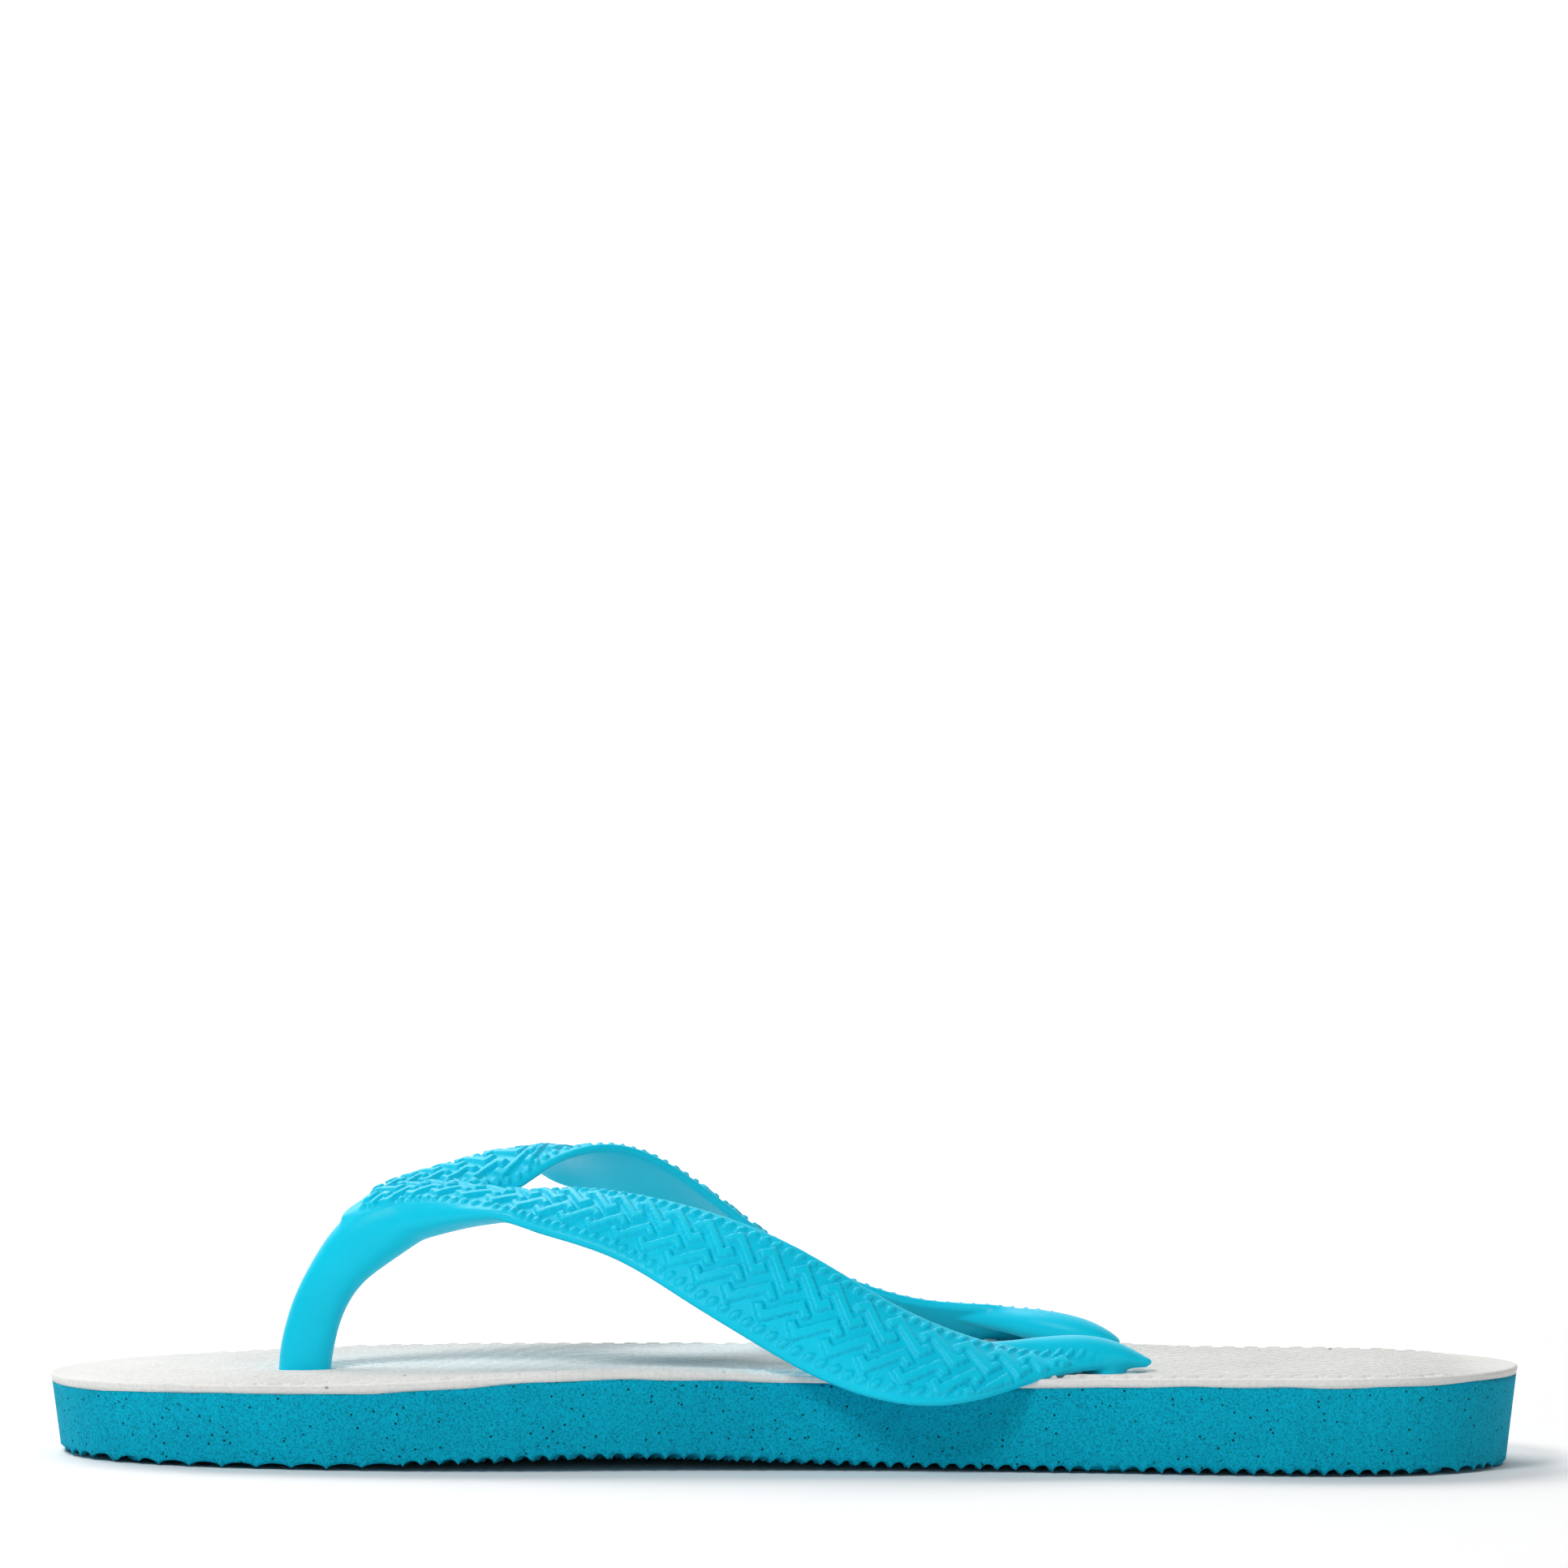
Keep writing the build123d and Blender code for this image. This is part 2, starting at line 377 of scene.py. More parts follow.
def emboss(x, y):
    """Height of the embossed grains over the footbed."""
    row = np.floor(y / GRAIN_PITCH_Y)
    along = (x / GRAIN_PITCH_X + 0.5 * (row % 2)) % 1.0 - 0.5
    across = (y / GRAIN_PITCH_Y) % 1.0 - 0.5
    along = along * GRAIN_PITCH_X
    across = across * GRAIN_PITCH_Y + GRAIN_CURVE * along ** 2 - GRAIN_SHIFT
    inside = 1 - (along / GRAIN_HALF_LENGTH) ** 2 - (across / GRAIN_HALF_WIDTH) ** 2
    grain = smoothstep(0.0, 0.55, inside)
    smooth_toe = 0.35 + 0.65 * smoothstep(-108, -84, x)
    return GRAIN_HEIGHT * grain * smooth_toe


def edge_fade(x, y):
    """0 at the rim of the footbed and 1 inside it, growing slowly from both tips."""
    inner = np.interp(x, SOLE_X, SOLE_INNER)
    outer = np.interp(x, SOLE_X, SOLE_OUTER)
    near_side = smoothstep(*RIM_FADE, np.minimum(y - inner, outer - y))
    ends = smoothstep(*END_FADE, np.minimum(x - SOLE_X[0], SOLE_X[-1] - x))
    return near_side * ends


def footbed_height(x, y):
    """Embossed footbed surface, drawn in a little round each stem."""
    height = top_height(x, y) + emboss(x, y) * edge_fade(x, y)
    height -= 0.7 * np.exp(-(((x - TOE_PLUG[0]) / 7.5) ** 2 + ((y - TOE_PLUG[1]) / 6) ** 2))
    for plug_x, plug_y in REAR_PLUGS:
        height -= 0.5 * np.exp(-(((x - plug_x) ** 2 + (y - plug_y) ** 2) / 40))
    return height


def make_footbed():
    """White embossed layer bonded on the base."""
    rim = 0.45
    glue = 0.01

    def underside(x, y):
        return bond_height(x, y) + glue

    def side(drop):
        return lambda x, y: top_height(x, y) - drop

    rows = [
        (level(lean(15.0), FOOTBED_PHASE), underside),
        (level(lean(16.0) - 0.05, FOOTBED_PHASE), side(0.9)),
        (level(lean(17.0) - 0.05, FOOTBED_PHASE), side(0.35)),
        (level(lean(17.0) + 0.10, FOOTBED_PHASE), side(0.10)),
        (level(lean(17.0) + rim, FOOTBED_PHASE), side(0.0)),
    ]
    return slab("sole_footbed", rows, (10, underside), (226, footbed_height))


# ---- strap ------------------------------------------------------------------
# Each arm is a band.  A station gives its inner edge, its outer edge and its
# thickness, from the nose above the toe post to the tail.
MEDIAL_ARM = [
    (-80.2, -7.5, 43.2, -80.9, -11.5, 42.0, 3.0),
    (-76.0, -4.6, 45.9, -77.6, -12.4, 43.4, 3.8),
    (-67.0, -2.0, 47.9, -68.6, -15.0, 45.3, 4.2),
    (-58.0, -3.0, 47.6, -60.6, -19.0, 45.5, 3.8),
    (-49.6, -5.0, 47.0, -52.6, -23.0, 44.2, 3.4),
    (-39.0, -13.0, 48.2, -45.0, -27.0, 42.0, 3.0),
    (-26.0, -20.0, 47.7, -32.0, -32.0, 38.0, 2.8),
    (-10.6, -26.0, 44.2, -19.0, -37.0, 30.9, 2.8),
    (2.5, -30.0, 38.9, -6.5, -40.2, 23.6, 2.8),
    (15.4, -31.0, 31.6, 8.0, -42.8, 16.4, 2.8),
    (28.0, -30.2, 25.6, 23.8, -44.0, 13.2, 2.8),
    (38.5, -28.2, 22.4, 35.5, -40.0, 14.6, 2.8),
    (47.0, -25.8, 21.0, 45.0, -33.6, 17.5, 2.6),
    (54.5, -24.2, 20.2, 52.8, -28.2, 18.9, 2.2),
    (64.5, -21.5, 19.2, 64.5, -22.5, 18.9, 1.2),
]
LATERAL_ARM = [
    (-79.2, -10.5, 43.1, -79.4, -6.0, 43.6, 3.0),
    (-75.0, -10.0, 44.9, -75.4, -3.0, 46.6, 3.6),
    (-66.5, -7.0, 46.9, -66.7, 4.5, 49.8, 4.2),
    (-58.0, -5.0, 47.2, -58.4, 10.0, 52.4, 3.8),
    (-50.5, -3.0, 47.4, -50.4, 15.6, 53.0, 3.4),
    (-45.0, 0.6, 51.3, -43.6, 20.4, 48.6, 3.0),
    (-38.2, 6.0, 54.7, -35.6, 24.8, 46.0, 2.8),
    (-30.0, 11.0, 54.9, -26.0, 29.0, 42.4, 2.8),
    (-19.2, 16.8, 49.6, -14.8, 34.6, 35.8, 2.8),
    (-8.0, 21.0, 41.2, -3.5, 40.2, 27.2, 2.8),
    (7.0, 26.5, 32.0, 11.5, 44.0, 17.4, 2.8),
    (24.0, 29.8, 26.4, 26.0, 43.8, 13.6, 2.8),
    (38.5, 29.2, 25.4, 39.5, 39.2, 16.6, 2.8),
    (47.0, 27.4, 24.2, 47.0, 34.0, 18.3, 2.6),
    (54.0, 25.6, 21.9, 53.4, 29.6, 19.1, 2.2),
    (61.0, 24.0, 19.2, 61.0, 25.0, 19.0, 1.2),
]
# The toe post and the roots that carry it into each arm: x, y, z of the middle,
# half its depth fore and aft or up and down, and half its width across.
TOE_POST = [
    (-87.1, -9.5, 1.0, 4.7, 3.1),
    (-87.0, -9.5, 8.0, 4.7, 3.1),
    (-86.9, -9.5, 15.0, 4.7, 3.2),
    (-85.9, -9.5, 22.0, 4.8, 3.4),
    (-84.0, -9.4, 27.6, 4.8, 3.7),
    (-81.2, -9.3, 32.6, 5.0, 4.2),
    (-77.4, -9.2, 37.0, 5.6, 4.9),
    (-72.0, -9.0, 40.6, 5.4, 5.6),
    (-66.0, -9.0, 43.2, 4.2, 5.6),
]
MEDIAL_ROOT = [
    (-75.5, -9.4, 40.2, 3.6, 4.4),
    (-69.0, -10.4, 41.9, 4.2, 5.0),
    (-63.0, -12.2, 43.0, 3.6, 5.8),
    (-57.0, -14.8, 43.7, 2.7, 6.4),
    (-51.0, -17.8, 43.9, 1.8, 6.2),
    (-45.0, -20.5, 43.9, 1.0, 4.0),
]
LATERAL_ROOT = [
    (-74.0, -8.6, 41.2, 3.6, 4.4),
    (-67.0, -5.6, 43.8, 3.8, 5.0),
    (-60.5, -1.4, 45.8, 3.2, 5.8),
    (-54.5, 2.8, 47.4, 2.2, 5.8),
    (-49.0, 6.4, 49.8, 1.0, 4.0),
]
# Rounded swelling where a stem leaves the tail of each arm.
MEDIAL_TAIL = [
    (31.0, -29.6, 22.0, 0.8, 0.7),
    (36.0, -27.6, 21.3, 1.5, 1.6),
    (42.0, -25.0, 20.9, 2.4, 3.0),
    (48.0, -22.8, 20.6, 3.1, 4.4),
    (53.5, -21.6, 20.5, 3.2, 4.7),
    (58.0, -21.2, 20.1, 2.7, 4.2),
    (62.0, -21.2, 19.5, 1.6, 2.8),
    (65.4, -21.4, 19.0, 0.4, 0.8),
]
LATERAL_TAIL = [
    (29.0, 32.6, 23.2, 0.8, 0.7),
    (35.0, 31.0, 22.8, 1.6, 1.6),
    (41.5, 28.8, 22.2, 2.5, 3.0),
    (47.5, 26.6, 21.5, 3.1, 4.3),
    (52.0, 25.2, 20.8, 3.1, 4.7),
    (56.0, 24.3, 20.1, 2.6, 4.4),
    (59.5, 24.0, 19.4, 1.6, 3.0),
    (62.0, 24.0, 19.0, 0.4, 0.8),
]
ARM_RINGS = 560
FACE_POINTS = 90
TUBE_RINGS = 120
TUBE_POINTS = 48
EDGE_RADIUS = 0.5           # rounding along both edges of a band
EDGE_THICKNESS = 1.2        # thickness of a band at its two edges
BOW = 0.075                 # how far the band bows outward, per width
LATERAL_BOW = 3.0           # further bow of the outer arm near its top
BOW_X = -45                 # where that further bow is greatest
BOW_SPREAD = 7
MOTIF_UNIT = 20.5           # the relief is drawn in this unit, the usual band width
MOTIF_SMALLEST = 14.0       # the unit where a band is narrow, near the nose
VOXEL = 0.30


def arm_surfaces(stations, outward, extra_bow):
    """An arm's edges, outward normal, width, thickness and bow, the unit that its
    relief is drawn in, and the distance along the arm in those units."""
    values = spline(stations, ARM_RINGS)
    inner = values[:, 0:3]
    outer = values[:, 3:6]
    thickness = values[:, 6]
    middle = (inner + outer) / 2
    along = np.gradient(middle, axis=0)
    along /= np.linalg.norm(along, axis=1)[:, None]
    across = inner - outer
    width = np.linalg.norm(across, axis=1)
    normal = np.cross(across, along) * outward
    normal /= np.linalg.norm(normal, axis=1)[:, None]
    narrow = np.clip(width, MOTIF_SMALLEST, MOTIF_UNIT)
    unit = np.where(middle[:, 0] > 0, MOTIF_UNIT, narrow)
    step = np.linalg.norm(np.diff(middle, axis=0), axis=1)
    travel = np.concatenate([[0.0], np.cumsum(step / unit[1:])])
    bow = BOW * width + extra_bow * np.exp(-((middle[:, 0] - BOW_X) / BOW_SPREAD) ** 2)
    return inner, outer, normal, width, thickness, bow, unit, travel


def band_face(surfaces, across, side):
    """Points of one face of the band; side is 1 outside and -1 inside."""
    inner, outer, normal, width, thickness, bow = surfaces[:6]
    chord = inner[:, None] + (outer - inner)[:, None] * across[None, :, None]
    from_edge = np.minimum(across, 1 - across)[None, :] * width[:, None]
    rounding = np.sqrt(np.clip(1 - (1 - np.clip(from_edge / EDGE_RADIUS, 0, 1)) ** 2, 0, 1))
    arch = 4 * across * (1 - across)
    local = EDGE_THICKNESS + (thickness[:, None] - EDGE_THICKNESS) * arch[None, :] ** 0.6
    offset = bow[:, None] * arch + (side * rounding - 1) * local / 2
    return chord + normal[:, None] * offset[:, :, None]


def make_arm(name, stations, outward, extra_bow):
    """One closed band, and samples of its outer face for the relief."""
    surfaces = arm_surfaces(stations, outward, extra_bow)
    across = (1 - np.cos(np.linspace(0, math.pi, FACE_POINTS))) / 2
    across = 0.5 * across + 0.5 * np.linspace(0, 1, FACE_POINTS)
    outside = band_face(surfaces, across, 1)
    inside = band_face(surfaces, across, -1)
    rings = np.concatenate([outside, inside[:, -2:0:-1]], axis=1)
    faces = capped_faces(ARM_RINGS, rings.shape[1])
    piece = mesh_object(name, rings.reshape(-1, 3), faces)
    weld(piece)
    width, unit, travel = surfaces[3], surfaces[6], surfaces[7]
    from_inner = across[None, :] * (width / unit)[:, None]
    from_outer = (1 - across)[None, :] * (width / unit)[:, None]
    travel = np.repeat(travel[:, None], FACE_POINTS, axis=1)
    normal = np.repeat(surfaces[2][:, None, :], FACE_POINTS, axis=1)
    place = np.stack([travel, from_inner, from_outer], axis=-1)
    samples = np.concatenate([outside, normal, place], axis=-1)
    return piece, samples.reshape(-1, 9)


def tube(name, stations, power):
    """Closed tube through (x, y, z, half depth, half width) stations; a power of 2
    gives an ellipse and a higher one squarer corners."""
    values = spline(stations, TUBE_RINGS)
    middle = values[:, :3]
    along = np.gradient(middle, axis=0)
    along /= np.linalg.norm(along, axis=1)[:, None]
    side = np.cross(along, np.cross([0.0, 1.0, 0.0], along))
    side /= np.linalg.norm(side, axis=1)[:, None]
    depth = np.cross(side, along)
    turn = np.linspace(0, 2 * math.pi, TUBE_POINTS, endpoint=False)
    cosine = np.sign(np.cos(turn)) * np.abs(np.cos(turn)) ** (2 / power)
    sine = np.sign(np.sin(turn)) * np.abs(np.sin(turn)) ** (2 / power)
    points = middle[:, None] + depth[:, None] * (values[:, 3, None] * cosine)[:, :, None]
    points = points + side[:, None] * (values[:, 4, None] * sine)[:, :, None]
    piece = mesh_object(name, points.reshape(-1, 3), capped_faces(TUBE_RINGS, TUBE_POINTS))
    weld(piece)
    return piece


def turned(name, x, y, profile):
    """Closed solid of revolution about the vertical through (x, y)."""
    turn = np.linspace(0, 2 * math.pi, RING_POINTS, endpoint=False)
    points = []
    for radius, z in profile:
        ring_x = x + radius * np.cos(turn)
        ring_y = y + radius * np.sin(turn)
        points.append(np.stack([ring_x, ring_y, z + 0 * turn], axis=-1))
    piece = mesh_object(name, np.vstack(points), capped_faces(len(profile), RING_POINTS))
    weld(piece)
    return piece


PLUG_PROFILE = [
    (3.0, PLUG_BOTTOM + 0.35), (5.6, PLUG_BOTTOM + 0.3), (6.0, PLUG_BOTTOM), (7.8, PLUG_BOTTOM),
    (PLUG_RADIUS, PLUG_BOTTOM + 0.6), (PLUG_RADIUS, PLUG_TOP - 0.4), (PLUG_RADIUS - 0.5, PLUG_TOP),
    (3.0, PLUG_TOP),
]

# Relief on the outer faces, in motif units except where it says mm: two rows of
# Z-shaped bars that lean towards each other, and a row of small ovals along each
# edge.
BAR_PITCH = 0.322
BAR_HALF_RUN = 0.128
BAR_HALF_WIDTH = 0.042
FOOT_LENGTH = 0.118
BAR_HEIGHT = 0.75           # mm
UPPER_ROW = 0.325
LOWER_ROW = 0.655
ROW_SHIFT = 0.6             # of a pitch
OVAL_PITCH = 0.118
OVAL_ROW = 0.105            # from the edge
OVAL_HEIGHT = 0.5           # mm
OVAL_HALF_RUN = 0.036
OVAL_HALF_PLACE = 0.058
OVAL_SLANT = 0.45
RELIEF_START = 0.30
RELIEF_END = 58.0           # mm along x


def box_distance(x, y, centre_x, centre_y, half_x, half_y):
    """Signed distance to a rectangle."""
    dx = np.abs(x - centre_x) - half_x
    dy = np.abs(y - centre_y) - half_y
    outside = np.hypot(np.maximum(dx, 0), np.maximum(dy, 0))
    return outside + np.minimum(np.maximum(dx, dy), 0)


def hook_distance(travel, place, lean_sign):
    """Signed distance to one Z-shaped bar centred on the origin."""
    run = (travel + lean_sign * place) / math.sqrt(2)
    rise = (-travel + lean_sign * place) / math.sqrt(2)
    half = BAR_HALF_RUN * math.sqrt(2)
    bar = box_distance(run, rise, 0, 0, half + BAR_HALF_WIDTH, BAR_HALF_WIDTH)
    foot_middle = (FOOT_LENGTH - BAR_HALF_WIDTH) / 2
    foot_half = (FOOT_LENGTH + BAR_HALF_WIDTH) / 2
    first = box_distance(run, rise, -half, foot_middle, BAR_HALF_WIDTH, foot_half)
    last = box_distance(run, rise, half, -foot_middle, BAR_HALF_WIDTH, foot_half)
    return np.minimum(bar, np.minimum(first, last))


def relief(travel, from_inner, from_outer, x):
    """Height of the raised ornament in mm."""
    distance = np.full_like(travel, 9.0)
    for row, lean_sign, shift in ((UPPER_ROW, 1, 0.0), (LOWER_ROW, -1, ROW_SHIFT)):
        count = np.round(travel / BAR_PITCH - shift)
        for neighbour in (-1, 0, 1):
            local = travel - (count + neighbour + shift) * BAR_PITCH
            distance = np.minimum(distance, hook_distance(local, from_inner - row, lean_sign))
    raised = 1 - smoothstep(-0.010, 0.012, distance)
    bars = BAR_HEIGHT * raised * smoothstep(0.03, 0.06, from_outer)
    ovals = np.zeros_like(travel)
    full_width = smoothstep(0.72, 0.86, from_inner + from_outer)
    for from_edge, side, share in ((from_inner, 1, 1.0), (from_outer, -1, full_width)):
        local_place = from_edge - OVAL_ROW
        shifted = travel + side * OVAL_SLANT * local_place
        local = ((shifted / OVAL_PITCH) % 1.0 - 0.5) * OVAL_PITCH
        inside = 1 - (local / OVAL_HALF_RUN) ** 2 - (local_place / OVAL_HALF_PLACE) ** 2
        ovals = np.maximum(ovals, OVAL_HEIGHT * smoothstep(0.0, 0.55, inside) * share)
    fade = smoothstep(RELIEF_START, RELIEF_START + 0.12, travel)
    fade = fade * (1 - smoothstep(RELIEF_END - 8, RELIEF_END, x))
    return np.maximum(bars, ovals) * fade


def relax(points, edges, weight, rounds):
    """Move each point towards the mean of its neighbours."""
    for _ in range(rounds):
        total = np.zeros_like(points)
        count = np.zeros(len(points))
        for first, last in ((0, 1), (1, 0)):
            np.add.at(total, edges[:, first], points[edges[:, last]])
            np.add.at(count, edges[:, first], 1)
        points = points + (total / count[:, None] - points) * weight[:, None]
    return points


def make_strap():
    """One moulded piece: post, two arms, three stems and three plugs."""
    medial, medial_samples = make_arm("medial_arm", MEDIAL_ARM, -1, 0.0)
    lateral, lateral_samples = make_arm("lateral_arm", LATERAL_ARM, 1, LATERAL_BOW)
    pieces = [medial, lateral]
    pieces.append(tube("toe_post", TOE_POST, power=2.6))
    pieces.append(tube("medial_root", MEDIAL_ROOT, power=2.0))
    pieces.append(tube("lateral_root", LATERAL_ROOT, power=2.0))
    pieces.append(tube("medial_tail", MEDIAL_TAIL, power=2.0))
    pieces.append(tube("lateral_tail", LATERAL_TAIL, power=2.0))
    stem = [
        (REAR_STEM_RADIUS, PLUG_BOTTOM + 1), (REAR_STEM_RADIUS, 17.0),
        (REAR_STEM_RADIUS - 0.5, 20.0),
    ]
    for number, (x, y) in enumerate(REAR_PLUGS):
        pieces.append(turned("rear_stem_%d" % number, x, y, stem))
    for number, (x, y) in enumerate([TOE_PLUG] + REAR_PLUGS):
        pieces.append(turned("plug_%d" % number, x, y, PLUG_PROFILE))
    points = []
    faces = []
    first = 0
    for piece in pieces:
        mesh = piece.data
        points += [tuple(v.co) for v in mesh.vertices]
        faces += [[first + i for i in face.vertices] for face in mesh.polygons]
        first += len(mesh.vertices)
        bpy.data.objects.remove(piece)
    strap = mesh_object("strap_moulding", np.array(points) / MM, faces)
    voxel = strap.modifiers.new("union", "REMESH")
    voxel.mode = "VOXEL"
    voxel.voxel_size = VOXEL * MM
    apply_modifiers(strap)
    shape_strap(strap, np.vstack([medial_samples, lateral_samples]))
    return strap


def shape_strap(strap, arm_samples):
    """Blend the joins of the moulding, then raise the relief on the outer faces."""
    mesh = strap.data
    count = len(mesh.vertices)
    flat = np.empty(count * 3)
    mesh.vertices.foreach_get("co", flat)
    points = flat.reshape(-1, 3) / MM
    edges = np.empty(len(mesh.edges) * 2, dtype=np.int64)
    mesh.edges.foreach_get("vertices", edges)
    edges = edges.reshape(-1, 2)
    points = relax(points, edges, np.full(count, 0.5), 4)
    on_face = nearest_on_arms(points, arm_samples)[0] < 0.7
    junction = 1 - smoothstep(-52, -44, points[:, 0])
    tail = smoothstep(36, 42, points[:, 0]) * smoothstep(17.5, 18.5, points[:, 2])
    soft = np.maximum(junction * smoothstep(19, 24, points[:, 2]), tail)
    weight = soft * np.where(on_face, 0.15, 0.6)
    points = relax(points, edges, weight, 60)
    mesh.vertices.foreach_set("co", (points * MM).ravel())
    mesh.update()
    facing = np.empty(count * 3)
    mesh.vertices.foreach_get("normal", facing)
    facing = facing.reshape(-1, 3)
    gap, found = nearest_on_arms(points, arm_samples)
    facing_out = smoothstep(0.35, 0.7, np.sum(facing * found[:, 3:6], axis=1))
    outside = facing_out * (1 - smoothstep(0.9, 1.6, gap))
    raised = relief(found[:, 6], found[:, 7], found[:, 8], points[:, 0]) * outside
    points = points + facing * raised[:, None]
    mesh.vertices.foreach_set("co", (points * MM).ravel())
    mesh.update()
    mesh.shade_smooth()


def nearest_on_arms(points, arm_samples):
    """For each point, the gap to the nearest sample of an outer face, and the sample."""
    tree = KDTree(len(arm_samples))
    for index, sample in enumerate(arm_samples[:, :3].tolist()):
        tree.insert(sample, index)
    tree.balance()
    found = [tree.find(point)[1:] for point in points.tolist()]
    index = np.array([item[0] for item in found])
    gap = np.array([item[1] for item in found])
    return gap, arm_samples[index]


# ---- materials --------------------------------------------------------------
# Colour sockets of the mix node, which has several sockets of the same name.
MIX_FIRST = 6
MIX_SECOND = 7
MIX_RESULT = 2


def new_material(name):
    """Node material with its principled shader, ready for links."""
    material = bpy.data.materials.new(name)
    material.use_nodes = True
    tree = material.node_tree
    return material, tree, tree.nodes["Principled BSDF"]


def add_node(tree, kind, **settings):
    """New node with the given properties and input values."""
    node = tree.nodes.new(kind)
    for key, value in settings.items():
        if key in node.inputs:
            node.inputs[key].default_value = value
        else:
            setattr(node, key, value)
    return node


def ramp(tree, source, stops):
    """Colour ramp from (position, colour) stops."""
    node = tree.nodes.new("ShaderNodeValToRGB")
    elements = node.color_ramp.elements
    while len(elements) < len(stops):
        elements.new(0.5)
    for element, (position, colour) in zip(elements, stops):
        element.position = position
        element.color = (*colour, 1.0)
    tree.links.new(source, node.inputs["Fac"])
    return node


def grey(value):
    """Neutral colour."""
    return (value, value, value)


def darkened(tree, colour, factors):
    """The colour multiplied by the colour of each factor node."""
    for factor in factors:
        mix = add_node(tree, "ShaderNodeMix", data_type="RGBA", blend_type="MULTIPLY")
        mix.inputs[0].default_value = 1.0
        tree.links.new(colour, mix.inputs[MIX_FIRST])
        tree.links.new(factor.outputs["Color"], mix.inputs[MIX_SECOND])
        colour = mix.outputs[MIX_RESULT]
    return colour


def foam_material():
    """Blue expanded foam: fine grain with scattered open pores, their insides painted dark as
    shade.
    """
    material, tree, shader = new_material("blue_foam")
    links = tree.links
    place = add_node(tree, "ShaderNodeTexCoord")
    grain = add_node(tree, "ShaderNodeTexNoise", Scale=2600.0, Detail=3.0, Roughness=0.6)
    cloud = add_node(tree, "ShaderNodeTexNoise", Scale=45.0, Detail=4.0, Roughness=0.55)
    cells = add_node(tree, "ShaderNodeTexVoronoi", Scale=900.0, Randomness=1.0)
    wide_cells = add_node(tree, "ShaderNodeTexVoronoi", Scale=560.0, Randomness=1.0)
    for texture in (grain, cloud, cells, wide_cells):
        links.new(place.outputs["Object"], texture.inputs["Vector"])
    blues = [(0.3, (0.000, 0.350, 0.520)), (0.7, (0.000, 0.410, 0.590))]
    base = ramp(tree, cloud.outputs["Fac"], blues)
    grain_stops = [(0.36, grey(0.62)), (0.52, grey(1.0)), (0.70, grey(1.15))]
    fine = ramp(tree, grain.outputs["Fac"], grain_stops)
    # Pore spots: colour painted dark as shade inside the pores, near black in the large ones; the
    # same spots also dent the surface through the bump below.
    small = ramp(tree, cells.outputs["Distance"], [(0.10, grey(0.55)), (0.19, grey(1.0))])
    large = ramp(tree, wide_cells.outputs["Distance"], [(0.085, grey(0.08)), (0.15, grey(1.0))])
    colour = darkened(tree, base.outputs["Color"], (fine, small, large))
    links.new(colour, shader.inputs["Base Color"])
    heights = add_node(tree, "ShaderNodeMath", operation="ADD")
    pores = add_node(tree, "ShaderNodeMath", operation="MULTIPLY")
    links.new(small.outputs["Color"], pores.inputs[0])
    links.new(large.outputs["Color"], pores.inputs[1])
    links.new(pores.outputs["Value"], heights.inputs[0])
    links.new(grain.outputs["Fac"], heights.inputs[1])
    bump = add_node(tree, "ShaderNodeBump", Strength=0.6, Distance=0.0003)
    links.new(heights.outputs["Value"], bump.inputs["Height"])
    links.new(bump.outputs["Normal"], shader.inputs["Normal"])
    shader.inputs["Roughness"].default_value = 0.86
    shader.inputs["Specular IOR Level"].default_value = 0.10
    return material


def footbed_material():
    """White matt foam sheet with faint scuffs and a few specks."""
    material, tree, shader = new_material("white_footbed")
    links = tree.links
    place = add_node(tree, "ShaderNodeTexCoord")
    grain = add_node(tree, "ShaderNodeTexNoise", Scale=1500.0, Detail=3.0, Roughness=0.6)
    cloud = add_node(tree, "ShaderNodeTexNoise", Scale=32.0, Detail=5.0, Roughness=0.6)
    specks = add_node(tree, "ShaderNodeTexVoronoi", Scale=150.0, Randomness=1.0)
    for texture in (grain, cloud, specks):
        links.new(place.outputs["Object"], texture.inputs["Vector"])
    whites = [(0.3, (0.72, 0.715, 0.695)), (0.65, (0.80, 0.797, 0.78))]
    base = ramp(tree, cloud.outputs["Fac"], whites)
    fine = ramp(tree, grain.outputs["Fac"], [(0.35, grey(0.90)), (0.60, grey(1.0))])
    dots = ramp(tree, specks.outputs["Distance"], [(0.035, grey(0.45)), (0.07, grey(1.0))])
    colour = darkened(tree, base.outputs["Color"], (fine, dots))
    links.new(colour, shader.inputs["Base Color"])
    bump = add_node(tree, "ShaderNodeBump", Strength=0.35, Distance=0.0002)
    links.new(grain.outputs["Fac"], bump.inputs["Height"])
    links.new(bump.outputs["Normal"], shader.inputs["Normal"])
    shader.inputs["Roughness"].default_value = 0.80
    shader.inputs["Specular IOR Level"].default_value = 0.15
    return material


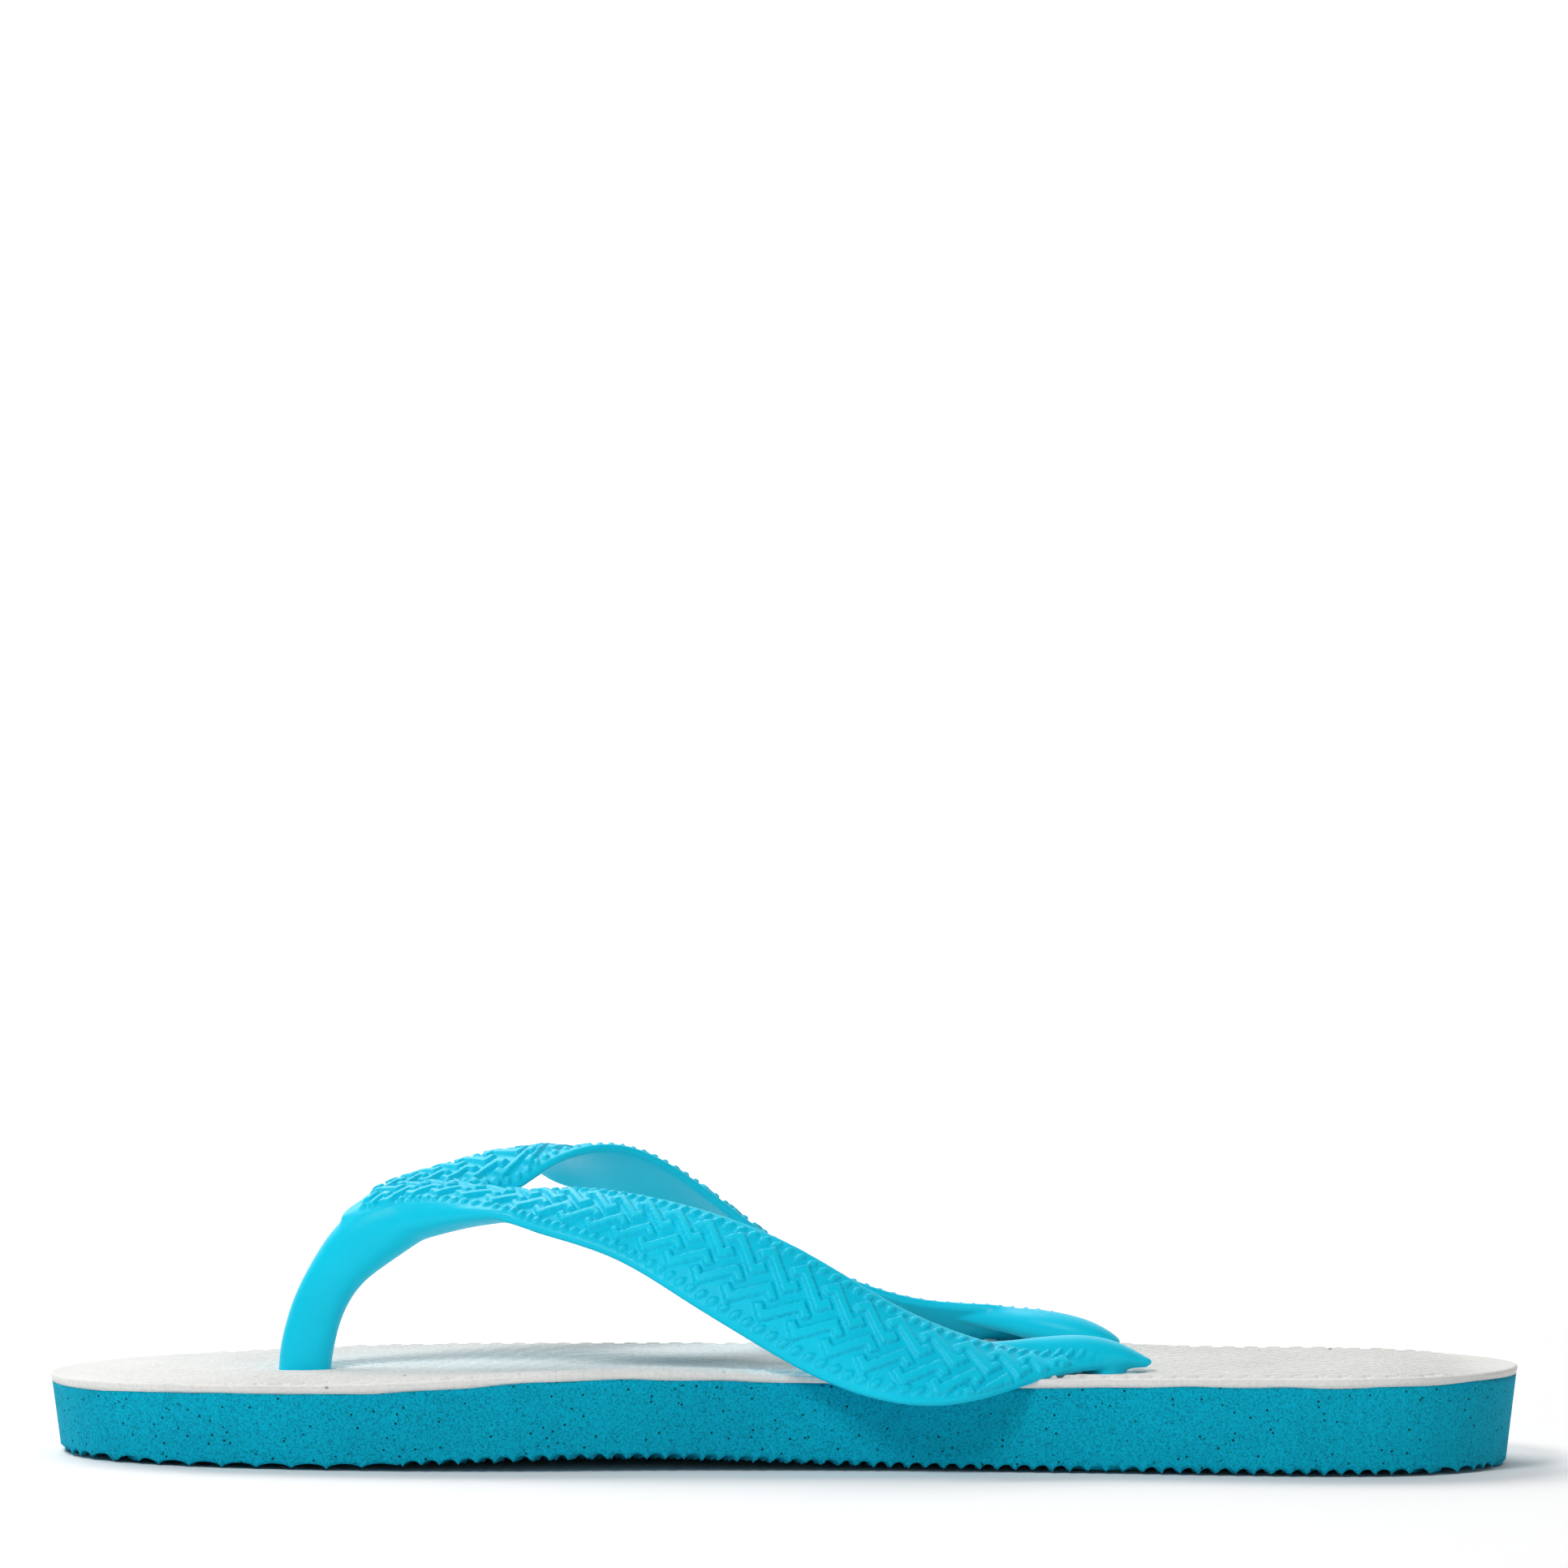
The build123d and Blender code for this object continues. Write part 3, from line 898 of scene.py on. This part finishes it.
def strap_material():
    """Satin moulded rubber with very slight unevenness."""
    material, tree, shader = new_material("blue_rubber")
    links = tree.links
    place = add_node(tree, "ShaderNodeTexCoord")
    cloud = add_node(tree, "ShaderNodeTexNoise", Scale=60.0, Detail=4.0, Roughness=0.55)
    skin = add_node(tree, "ShaderNodeTexNoise", Scale=900.0, Detail=2.0, Roughness=0.5)
    for texture in (cloud, skin):
        links.new(place.outputs["Object"], texture.inputs["Vector"])
    blues = [(0.3, (0.000, 0.560, 0.780)), (0.7, (0.000, 0.620, 0.840))]
    base = ramp(tree, cloud.outputs["Fac"], blues)
    links.new(base.outputs["Color"], shader.inputs["Base Color"])
    gloss = ramp(tree, skin.outputs["Fac"], [(0.3, grey(0.36)), (0.7, grey(0.46))])
    links.new(gloss.outputs["Color"], shader.inputs["Roughness"])
    bump = add_node(tree, "ShaderNodeBump", Strength=0.12, Distance=0.0001)
    links.new(skin.outputs["Fac"], bump.inputs["Height"])
    links.new(bump.outputs["Normal"], shader.inputs["Normal"])
    shader.inputs["Specular IOR Level"].default_value = 0.18
    return material


# ---- stage, light and camera --------------------------------------------------
CAMERA_DISTANCE = 1.300
CAMERA_HEIGHT = 0.1213
CAMERA_X = -0.0020
CAMERA_LENS = 164.5
CAMERA_ROLL = math.radians(0.75)


def make_floor():
    """Plain pale floor that curves up into a lit backdrop."""
    flat_to = 1.6
    radius = 0.8
    profile = [(-3.0, 0.0), (0.0, 0.0), (flat_to, 0.0)]
    for step in range(1, 17):
        angle = math.pi / 2 * step / 16
        profile.append((flat_to + radius * math.sin(angle), radius - radius * math.cos(angle)))
    profile.append((flat_to + radius, 4.0))
    points = []
    for x in (-4.0, 4.0):
        points += [(x / MM, y / MM, z / MM) for y, z in profile]
    floor = mesh_object("floor", points, grid_faces(2, len(profile)))
    floor.location.z = -0.0001
    material, tree, shader = new_material("floor_white")
    cloud = add_node(tree, "ShaderNodeTexNoise", Scale=6.0, Detail=2.0)
    base = ramp(tree, cloud.outputs["Fac"], [(0.3, grey(0.90)), (0.7, grey(0.92))])
    tree.links.new(base.outputs["Color"], shader.inputs["Base Color"])
    shader.inputs["Roughness"].default_value = 0.9
    place = add_node(tree, "ShaderNodeTexCoord")
    split = add_node(tree, "ShaderNodeSeparateXYZ")
    tree.links.new(place.outputs["Object"], split.inputs["Vector"])
    far = add_node(tree, "ShaderNodeMapRange")
    far.inputs["From Min"].default_value = 0.3
    far.inputs["From Max"].default_value = 1.7
    tree.links.new(split.outputs["Y"], far.inputs["Value"])
    glow = ramp(tree, far.outputs["Result"], [(0.0, grey(0.0)), (1.0, grey(0.70))])
    tree.links.new(glow.outputs["Color"], shader.inputs["Emission Color"])
    shader.inputs["Emission Strength"].default_value = 1.0
    floor.data.materials.append(material)


def area_light(name, place, aim, size, power):
    """Soft rectangular light aimed at a point."""
    data = bpy.data.lights.new(name, "AREA")
    data.shape = "RECTANGLE"
    data.size, data.size_y = size
    data.energy = power
    lamp = bpy.data.objects.new(name, data)
    bpy.context.scene.collection.objects.link(lamp)
    direction = np.array(aim, float) - np.array(place, float)
    back = -direction / np.linalg.norm(direction)
    right = np.cross([0.0, 0.0, 1.0], back)
    right /= np.linalg.norm(right)
    upward = np.cross(back, right)
    basis = np.eye(4)
    basis[:3, 0], basis[:3, 1], basis[:3, 2], basis[:3, 3] = right, upward, back, place
    lamp.matrix_world = Matrix(basis.tolist())


def make_lights():
    """Large soft light overhead, a front key and an even white surround."""
    area_light("overhead", (-0.50, 0.60, 0.95), (0, 0, 0), (0.9, 0.7), 9)
    area_light("front_key", (-0.55, -0.95, 1.0), (0, 0, 0.02), (0.35, 0.35), 10)
    area_light("front_fill", (0.9, -1.3, 0.35), (0, 0, 0.02), (1.0, 0.6), 2)
    world = bpy.data.worlds.new("studio")
    world.use_nodes = True
    background = world.node_tree.nodes["Background"]
    background.inputs["Color"].default_value = (1, 1, 1, 1)
    background.inputs["Strength"].default_value = 0.26
    bpy.context.scene.world = world
    bpy.context.scene.view_settings.view_transform = "Standard"


def make_camera():
    """Long lens at the inner side of the shoe, a little above it."""
    data = bpy.data.cameras.new("camera")
    data.lens = CAMERA_LENS
    data.sensor_width = 36.0
    data.clip_end = 20.0
    camera = bpy.data.objects.new("camera", data)
    bpy.context.scene.collection.objects.link(camera)
    cosine, sine = math.cos(CAMERA_ROLL), math.sin(CAMERA_ROLL)
    camera.matrix_world = Matrix((
        (cosine, -sine, 0, CAMERA_X),
        (0, 0, -1, -CAMERA_DISTANCE),
        (sine, cosine, 0, CAMERA_HEIGHT),
        (0, 0, 0, 1),
    ))
    bpy.context.scene.camera = camera


# ---- put together -------------------------------------------------------------
def finish_piece(piece, material, slot, *nodes):
    """Give the piece its material and hide the CAD nodes that it stands for. The slot is not used.
    """
    piece.data.materials.clear()
    piece.data.materials.append(material)
    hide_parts(*nodes)


make_camera()
make_floor()
make_lights()

base = make_base()
finish_piece(base, foam_material(), "base_foam", "base_toe", "base_heel")
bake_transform(base)

footbed = make_footbed()
finish_piece(footbed, footbed_material(), "footbed_foam", "footbed_toe", "footbed_heel")
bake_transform(footbed)

strap = make_strap()
finish_piece(strap, strap_material(), "strap_rubber", "strap")
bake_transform(strap)
